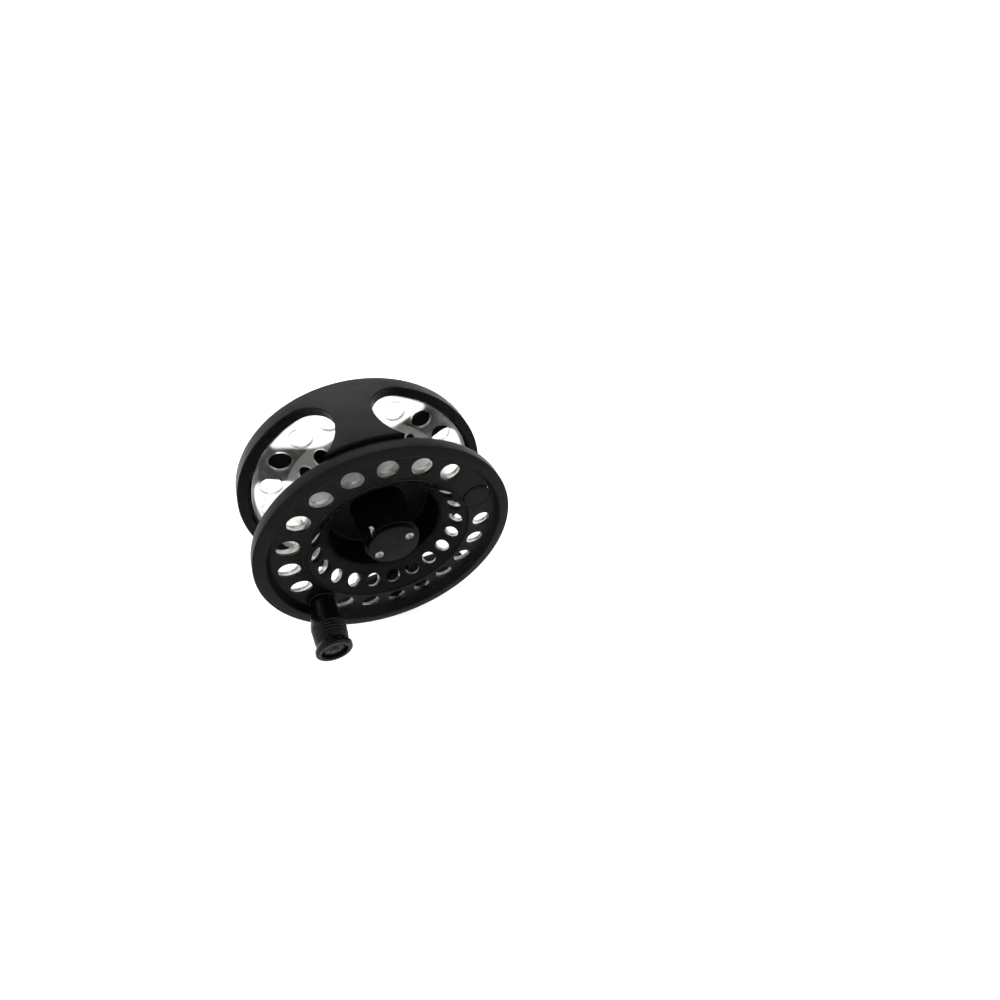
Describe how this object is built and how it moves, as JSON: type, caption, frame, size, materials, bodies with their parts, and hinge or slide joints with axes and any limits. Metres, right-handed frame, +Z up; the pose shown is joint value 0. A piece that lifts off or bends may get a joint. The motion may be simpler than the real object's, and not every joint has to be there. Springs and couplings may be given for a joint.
{
  "type": "fly reel",
  "caption": "Large-arbor fly reel with a ported open frame, a dished removable spool with a crank handle, a clear slip-on line cassette, a disc drag and a foot for a rod's reel seat.",
  "frame": {"origin": "middle of the flat underside of the reel foot, where it lies on a rod's reel seat", "axes": "+Z up from the foot towards the spool axis, spool axis along Y with the open face of the spool towards -Y and the drag knob on the +Y side, +X to the right seen from the front, which is along the rod"},
  "size_m": [0.0986, 0.0734, 0.1083],
  "materials": {
    "anodised_black": "satin black anodised",
    "grip_black": "polished black",
    "weight_black": "satin black",
    "clear_plastic": "clear moulded",
    "polished_steel": "polished",
    "steel": "brushed",
    "bronze": "machined",
    "friction_disc": "matt composite",
    "rubber": "matt",
    "white_plastic": "moulded"
  },
  "bodies": {
    "frame": {"frame": "anodised_black", "reel_foot": "anodised_black", "foot_screw_front": "steel", "foot_screw_rear": "steel", "spindle": "polished_steel", "spindle_nut": "steel", "drag_cover": "anodised_black", "cover_screw_1": "steel", "cover_screw_2": "steel", "cover_screw_3": "steel", "drag_seal": "rubber", "drag_disc_front": "friction_disc", "drag_disc_rear": "friction_disc", "pressure_plate": "steel", "spring_washer_front": "polished_steel", "spring_washer_rear": "polished_steel", "sleeve_washer": "white_plastic", "pawl_pin": "polished_steel", "pawl_spring": "polished_steel", "knob_screw": "polished_steel"},
    "drag_rotor": {"drag_sleeve": "steel", "drag_plate": "steel"},
    "clutch_carrier": {"clutch_carrier": "steel", "one_way_clutch": "bronze", "click_gear": "bronze"},
    "spool": {"spool": "anodised_black", "counterweight": "weight_black", "hub_cap": "anodised_black", "cap_screw_1": "polished_steel", "cap_screw_2": "polished_steel", "latch_spring": "polished_steel", "front_bearing": "polished_steel", "handle_post": "polished_steel", "handle_collar": "anodised_black", "handle_screw": "grip_black", "cassette_ring": "rubber"},
    "cassette": {"line_cassette": "clear_plastic"},
    "latch": {"latch_lever": "polished_steel"},
    "handle": {"handle_grip": "grip_black"},
    "click_pawl": {"click_pawl": "steel"},
    "drag_knob": {"drag_knob": "anodised_black", "detent_ball": "polished_steel", "detent_spring": "polished_steel"},
    "thrust": {"thrust_spider": "steel"}
  },
  "joints": [
    {"name": "spool_spin", "type": "hinge", "parent": "frame", "child": "clutch_carrier", "pos_m": [0, -0.004, 0.059], "axis": [0, 1, 0], "continuous": true},
    {"name": "spool_removal", "type": "slide", "parent": "clutch_carrier", "child": "spool", "axis": [0, -1, 0], "range_m": [0, 0.09]},
    {"name": "cassette_slide", "type": "slide", "parent": "spool", "child": "cassette", "axis": [0, 1, 0], "range_m": [0, 0.036]},
    {"name": "latch_press", "type": "hinge", "parent": "spool", "child": "latch", "pos_m": [-0.00637, -0.0194, 0.05662], "axis": [0, -1, 0], "range_deg": [0, 8], "stiffness_Nm_per_rad": 0.02},
    {"name": "handle_spin", "type": "hinge", "parent": "spool", "child": "handle", "pos_m": [-0.03238, -0.034, 0.04068], "axis": [0, 1, 0], "continuous": true},
    {"name": "click_pawl_rock", "type": "hinge", "parent": "frame", "child": "click_pawl", "pos_m": [0.0164, 0.0043, 0.059], "axis": [0, 1, 0], "range_deg": [-6, 6], "stiffness_Nm_per_rad": 0.0001},
    {"name": "drag_knob_turn", "type": "hinge", "parent": "frame", "child": "drag_knob", "pos_m": [0, 0.0237, 0.059], "axis": [0, -1, 0], "range_deg": [-150, 150]},
    {"name": "drag_push", "type": "slide", "parent": "frame", "child": "thrust", "axis": [0, -1, 0], "range_m": [-0.000312, 0.000312]},
    {"name": "drag_slip", "type": "hinge", "parent": "frame", "child": "drag_rotor", "pos_m": [0, -0.004, 0.059], "axis": [0, 1, 0], "continuous": true}
  ],
  "couplings": [
    {"joint": "cassette_slide", "follows": "spool_removal", "ratio": 0.4},
    {"joint": "drag_push", "follows": "drag_knob_turn", "m_per_rad": 0.000119}
  ]
}
